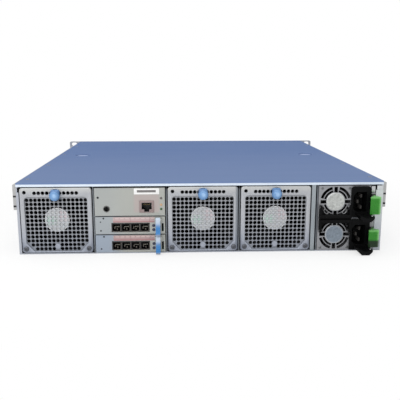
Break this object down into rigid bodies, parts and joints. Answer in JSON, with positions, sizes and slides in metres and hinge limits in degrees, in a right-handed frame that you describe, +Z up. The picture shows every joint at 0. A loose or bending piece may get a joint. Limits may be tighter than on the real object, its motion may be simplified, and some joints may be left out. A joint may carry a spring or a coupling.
{
  "type": "disk shelf enclosure",
  "caption": "Two-unit rack disk shelf with hot-swap fan modules, port cards, a controller, stacked power supplies and sliding disk carriers.",
  "frame": {"origin": "middle of the chassis floor, on its underside", "axes": "+X across the rack, to the right when facing the module side; +Y into the shelf, from the module side to the disk side; +Z up"},
  "size_m": [0.4826, 0.508, 0.087],
  "materials": {
    "chassis_base": "zinc-plated steel sheet",
    "top_cover": "satin blue-grey coated steel sheet",
    "drive_cage": "zinc-plated steel sheet",
    "midplane_board": "green circuit board with black connectors",
    "rack_ears": "zinc-plated steel",
    "slide_rails": "rolled zinc-plated steel",
    "fan_left_housing": "silver painted metal face",
    "fan_left_frame": "black glass-filled plastic",
    "fan_left_rotor": "black glass-filled plastic",
    "fan_left_latch": "light blue touch-point plastic",
    "fan_centre_housing": "silver painted metal face",
    "fan_centre_frame": "black glass-filled plastic",
    "fan_centre_rotor": "black glass-filled plastic",
    "fan_centre_latch": "light blue touch-point plastic",
    "fan_right_housing": "silver painted metal face",
    "fan_right_frame": "black glass-filled plastic",
    "fan_right_rotor": "black glass-filled plastic",
    "fan_right_latch": "light blue touch-point plastic",
    "controller_tray": "pale zinc-plated steel",
    "controller_board": "green circuit board with metal jack shell",
    "card_lower_tray": "pale zinc-plated steel",
    "card_lower_ports": "circuit board with black port cage",
    "card_lower_lever": "blue touch-point plastic",
    "card_upper_tray": "pale zinc-plated steel",
    "card_upper_ports": "circuit board with black port cage",
    "card_upper_lever": "blue touch-point plastic",
    "psu_lower_case": "bright nickel-plated steel",
    "psu_lower_inlet": "black plastic with bright blades",
    "psu_lower_rotor": "black plastic",
    "psu_lower_handle": "black plastic",
    "psu_lower_latch": "bright green touch-point plastic",
    "psu_upper_case": "bright nickel-plated steel",
    "psu_upper_inlet": "black plastic with bright blades",
    "psu_upper_rotor": "black plastic",
    "psu_upper_handle": "black plastic",
    "psu_upper_latch": "bright green touch-point plastic",
    "disk_01_carrier": "dark grey bezel on bare metal",
    "disk_01_lever": "dark grey plastic lever",
    "disk_02_carrier": "dark grey bezel on bare metal",
    "disk_02_lever": "dark grey plastic lever",
    "disk_03_carrier": "dark grey bezel on bare metal",
    "disk_03_lever": "dark grey plastic lever",
    "disk_04_carrier": "dark grey bezel on bare metal",
    "disk_04_lever": "dark grey plastic lever",
    "disk_05_carrier": "dark grey bezel on bare metal",
    "disk_05_lever": "dark grey plastic lever",
    "disk_06_carrier": "dark grey bezel on bare metal",
    "disk_06_lever": "dark grey plastic lever",
    "disk_07_carrier": "dark grey bezel on bare metal",
    "disk_07_lever": "dark grey plastic lever",
    "disk_08_carrier": "dark grey bezel on bare metal",
    "disk_08_lever": "dark grey plastic lever",
    "disk_09_carrier": "dark grey bezel on bare metal",
    "disk_09_lever": "dark grey plastic lever",
    "disk_10_carrier": "dark grey bezel on bare metal",
    "disk_10_lever": "dark grey plastic lever",
    "disk_11_carrier": "dark grey bezel on bare metal",
    "disk_11_lever": "dark grey plastic lever",
    "disk_12_carrier": "dark grey bezel on bare metal",
    "disk_12_lever": "dark grey plastic lever"
  },
  "bodies": {
    "chassis": {"chassis_base": "chassis_base", "top_cover": "top_cover", "drive_cage": "drive_cage", "midplane_board": "midplane_board", "rack_ears": "rack_ears", "slide_rails": "slide_rails"},
    "fan_left": {"fan_left_housing": "fan_left_housing", "fan_left_frame": "fan_left_frame"},
    "fan_left_rotor": {"fan_left_rotor": "fan_left_rotor"},
    "fan_left_latch": {"fan_left_latch": "fan_left_latch"},
    "fan_centre": {"fan_centre_housing": "fan_centre_housing", "fan_centre_frame": "fan_centre_frame"},
    "fan_centre_rotor": {"fan_centre_rotor": "fan_centre_rotor"},
    "fan_centre_latch": {"fan_centre_latch": "fan_centre_latch"},
    "fan_right": {"fan_right_housing": "fan_right_housing", "fan_right_frame": "fan_right_frame"},
    "fan_right_rotor": {"fan_right_rotor": "fan_right_rotor"},
    "fan_right_latch": {"fan_right_latch": "fan_right_latch"},
    "controller": {"controller_tray": "controller_tray", "controller_board": "controller_board"},
    "card_lower": {"card_lower_tray": "card_lower_tray", "card_lower_ports": "card_lower_ports"},
    "card_lower_lever": {"card_lower_lever": "card_lower_lever"},
    "card_upper": {"card_upper_tray": "card_upper_tray", "card_upper_ports": "card_upper_ports"},
    "card_upper_lever": {"card_upper_lever": "card_upper_lever"},
    "psu_lower": {"psu_lower_case": "psu_lower_case", "psu_lower_inlet": "psu_lower_inlet"},
    "psu_lower_rotor": {"psu_lower_rotor": "psu_lower_rotor"},
    "psu_lower_handle": {"psu_lower_handle": "psu_lower_handle"},
    "psu_lower_latch": {"psu_lower_latch": "psu_lower_latch"},
    "psu_upper": {"psu_upper_case": "psu_upper_case", "psu_upper_inlet": "psu_upper_inlet"},
    "psu_upper_rotor": {"psu_upper_rotor": "psu_upper_rotor"},
    "psu_upper_handle": {"psu_upper_handle": "psu_upper_handle"},
    "psu_upper_latch": {"psu_upper_latch": "psu_upper_latch"},
    "disk_01": {"disk_01_carrier": "disk_01_carrier"},
    "disk_01_lever": {"disk_01_lever": "disk_01_lever"},
    "disk_02": {"disk_02_carrier": "disk_02_carrier"},
    "disk_02_lever": {"disk_02_lever": "disk_02_lever"},
    "disk_03": {"disk_03_carrier": "disk_03_carrier"},
    "disk_03_lever": {"disk_03_lever": "disk_03_lever"},
    "disk_04": {"disk_04_carrier": "disk_04_carrier"},
    "disk_04_lever": {"disk_04_lever": "disk_04_lever"},
    "disk_05": {"disk_05_carrier": "disk_05_carrier"},
    "disk_05_lever": {"disk_05_lever": "disk_05_lever"},
    "disk_06": {"disk_06_carrier": "disk_06_carrier"},
    "disk_06_lever": {"disk_06_lever": "disk_06_lever"},
    "disk_07": {"disk_07_carrier": "disk_07_carrier"},
    "disk_07_lever": {"disk_07_lever": "disk_07_lever"},
    "disk_08": {"disk_08_carrier": "disk_08_carrier"},
    "disk_08_lever": {"disk_08_lever": "disk_08_lever"},
    "disk_09": {"disk_09_carrier": "disk_09_carrier"},
    "disk_09_lever": {"disk_09_lever": "disk_09_lever"},
    "disk_10": {"disk_10_carrier": "disk_10_carrier"},
    "disk_10_lever": {"disk_10_lever": "disk_10_lever"},
    "disk_11": {"disk_11_carrier": "disk_11_carrier"},
    "disk_11_lever": {"disk_11_lever": "disk_11_lever"},
    "disk_12": {"disk_12_carrier": "disk_12_carrier"},
    "disk_12_lever": {"disk_12_lever": "disk_12_lever"}
  },
  "joints": [
    {"name": "fan_left_slide", "type": "slide", "parent": "chassis", "child": "fan_left", "axis": [0, -1, 0], "range_m": [0, 0.055]},
    {"name": "fan_left_spin", "type": "hinge", "parent": "fan_left", "child": "fan_left_rotor", "pos_m": [-0.174, -0.21, 0.0415], "axis": [0, 1, 0], "continuous": true},
    {"name": "fan_left_latch_press", "type": "slide", "parent": "fan_left", "child": "fan_left_latch", "axis": [0, 0, -1], "range_m": [0, 0.003], "stiffness_N_per_m": 400},
    {"name": "fan_centre_slide", "type": "slide", "parent": "chassis", "child": "fan_centre", "axis": [0, -1, 0], "range_m": [0, 0.055]},
    {"name": "fan_centre_spin", "type": "hinge", "parent": "fan_centre", "child": "fan_centre_rotor", "pos_m": [0.0012, -0.21, 0.0415], "axis": [0, 1, 0], "continuous": true},
    {"name": "fan_centre_latch_press", "type": "slide", "parent": "fan_centre", "child": "fan_centre_latch", "axis": [0, 0, -1], "range_m": [0, 0.003], "stiffness_N_per_m": 400},
    {"name": "fan_right_slide", "type": "slide", "parent": "chassis", "child": "fan_right", "axis": [0, -1, 0], "range_m": [0, 0.055]},
    {"name": "fan_right_spin", "type": "hinge", "parent": "fan_right", "child": "fan_right_rotor", "pos_m": [0.0893, -0.21, 0.0415], "axis": [0, 1, 0], "continuous": true},
    {"name": "fan_right_latch_press", "type": "slide", "parent": "fan_right", "child": "fan_right_latch", "axis": [0, 0, -1], "range_m": [0, 0.003], "stiffness_N_per_m": 400},
    {"name": "controller_slide", "type": "slide", "parent": "chassis", "child": "controller", "axis": [0, -1, 0], "range_m": [0, 0.295]},
    {"name": "card_lower_slide", "type": "slide", "parent": "chassis", "child": "card_lower", "axis": [0, -1, 0], "range_m": [0, 0.295]},
    {"name": "card_lower_lever_turn", "type": "hinge", "parent": "card_lower", "child": "card_lower_lever", "pos_m": [-0.053, -0.2442, 0.0199], "axis": [-1, 0, 0], "range_deg": [0, 55]},
    {"name": "card_upper_slide", "type": "slide", "parent": "chassis", "child": "card_upper", "axis": [0, -1, 0], "range_m": [0, 0.295]},
    {"name": "card_upper_lever_turn", "type": "hinge", "parent": "card_upper", "child": "card_upper_lever", "pos_m": [-0.053, -0.2442, 0.0425], "axis": [-1, 0, 0], "range_deg": [0, 55]},
    {"name": "psu_lower_slide", "type": "slide", "parent": "chassis", "child": "psu_lower", "axis": [0, -1, 0], "range_m": [0, 0.295]},
    {"name": "psu_lower_spin", "type": "hinge", "parent": "psu_lower", "child": "psu_lower_rotor", "pos_m": [0.16195, -0.225, 0.0211], "axis": [0, 1, 0], "continuous": true},
    {"name": "psu_lower_handle_turn", "type": "hinge", "parent": "psu_lower", "child": "psu_lower_handle", "pos_m": [0.16195, -0.2442, 0.0271], "axis": [1, 0, 0], "range_deg": [0, 90]},
    {"name": "psu_lower_latch_squeeze", "type": "hinge", "parent": "psu_lower", "child": "psu_lower_latch", "pos_m": [0.2083, -0.21, 0.0187], "axis": [0, 0, -1], "range_deg": [0, 2.5], "stiffness_Nm_per_rad": 0.6},
    {"name": "psu_upper_slide", "type": "slide", "parent": "chassis", "child": "psu_upper", "axis": [0, -1, 0], "range_m": [0, 0.295]},
    {"name": "psu_upper_spin", "type": "hinge", "parent": "psu_upper", "child": "psu_upper_rotor", "pos_m": [0.16195, -0.225, 0.0617], "axis": [0, 1, 0], "continuous": true},
    {"name": "psu_upper_handle_turn", "type": "hinge", "parent": "psu_upper", "child": "psu_upper_handle", "pos_m": [0.16195, -0.2442, 0.0557], "axis": [-1, 0, 0], "range_deg": [0, 90]},
    {"name": "psu_upper_latch_squeeze", "type": "hinge", "parent": "psu_upper", "child": "psu_upper_latch", "pos_m": [0.2083, -0.21, 0.0593], "axis": [0, 0, -1], "range_deg": [0, 2.5], "stiffness_Nm_per_rad": 0.6},
    {"name": "disk_01_slide", "type": "slide", "parent": "chassis", "child": "disk_01", "axis": [0, 1, 0], "range_m": [0, 0.17]},
    {"name": "disk_01_lever_turn", "type": "hinge", "parent": "disk_01", "child": "disk_01_lever", "pos_m": [-0.2101, 0.2412, 0.01493], "axis": [0, 0, 1], "range_deg": [0, 45]},
    {"name": "disk_02_slide", "type": "slide", "parent": "chassis", "child": "disk_02", "axis": [0, 1, 0], "range_m": [0, 0.17]},
    {"name": "disk_02_lever_turn", "type": "hinge", "parent": "disk_02", "child": "disk_02_lever", "pos_m": [-0.101, 0.2412, 0.01493], "axis": [0, 0, 1], "range_deg": [0, 45]},
    {"name": "disk_03_slide", "type": "slide", "parent": "chassis", "child": "disk_03", "axis": [0, 1, 0], "range_m": [0, 0.17]},
    {"name": "disk_03_lever_turn", "type": "hinge", "parent": "disk_03", "child": "disk_03_lever", "pos_m": [0.0081, 0.2412, 0.01493], "axis": [0, 0, 1], "range_deg": [0, 45]},
    {"name": "disk_04_slide", "type": "slide", "parent": "chassis", "child": "disk_04", "axis": [0, 1, 0], "range_m": [0, 0.17]},
    {"name": "disk_04_lever_turn", "type": "hinge", "parent": "disk_04", "child": "disk_04_lever", "pos_m": [0.1172, 0.2412, 0.01493], "axis": [0, 0, 1], "range_deg": [0, 45]},
    {"name": "disk_05_slide", "type": "slide", "parent": "chassis", "child": "disk_05", "axis": [0, 1, 0], "range_m": [0, 0.17]},
    {"name": "disk_05_lever_turn", "type": "hinge", "parent": "disk_05", "child": "disk_05_lever", "pos_m": [-0.2101, 0.2412, 0.0436], "axis": [0, 0, 1], "range_deg": [0, 45]},
    {"name": "disk_06_slide", "type": "slide", "parent": "chassis", "child": "disk_06", "axis": [0, 1, 0], "range_m": [0, 0.17]},
    {"name": "disk_06_lever_turn", "type": "hinge", "parent": "disk_06", "child": "disk_06_lever", "pos_m": [-0.101, 0.2412, 0.0436], "axis": [0, 0, 1], "range_deg": [0, 45]},
    {"name": "disk_07_slide", "type": "slide", "parent": "chassis", "child": "disk_07", "axis": [0, 1, 0], "range_m": [0, 0.17]},
    {"name": "disk_07_lever_turn", "type": "hinge", "parent": "disk_07", "child": "disk_07_lever", "pos_m": [0.0081, 0.2412, 0.0436], "axis": [0, 0, 1], "range_deg": [0, 45]},
    {"name": "disk_08_slide", "type": "slide", "parent": "chassis", "child": "disk_08", "axis": [0, 1, 0], "range_m": [0, 0.17]},
    {"name": "disk_08_lever_turn", "type": "hinge", "parent": "disk_08", "child": "disk_08_lever", "pos_m": [0.1172, 0.2412, 0.0436], "axis": [0, 0, 1], "range_deg": [0, 45]},
    {"name": "disk_09_slide", "type": "slide", "parent": "chassis", "child": "disk_09", "axis": [0, 1, 0], "range_m": [0, 0.17]},
    {"name": "disk_09_lever_turn", "type": "hinge", "parent": "disk_09", "child": "disk_09_lever", "pos_m": [-0.2101, 0.2412, 0.07227], "axis": [0, 0, 1], "range_deg": [0, 45]},
    {"name": "disk_10_slide", "type": "slide", "parent": "chassis", "child": "disk_10", "axis": [0, 1, 0], "range_m": [0, 0.17]},
    {"name": "disk_10_lever_turn", "type": "hinge", "parent": "disk_10", "child": "disk_10_lever", "pos_m": [-0.101, 0.2412, 0.07227], "axis": [0, 0, 1], "range_deg": [0, 45]},
    {"name": "disk_11_slide", "type": "slide", "parent": "chassis", "child": "disk_11", "axis": [0, 1, 0], "range_m": [0, 0.17]},
    {"name": "disk_11_lever_turn", "type": "hinge", "parent": "disk_11", "child": "disk_11_lever", "pos_m": [0.0081, 0.2412, 0.07227], "axis": [0, 0, 1], "range_deg": [0, 45]},
    {"name": "disk_12_slide", "type": "slide", "parent": "chassis", "child": "disk_12", "axis": [0, 1, 0], "range_m": [0, 0.17]},
    {"name": "disk_12_lever_turn", "type": "hinge", "parent": "disk_12", "child": "disk_12_lever", "pos_m": [0.1172, 0.2412, 0.07227], "axis": [0, 0, 1], "range_deg": [0, 45]}
  ]
}
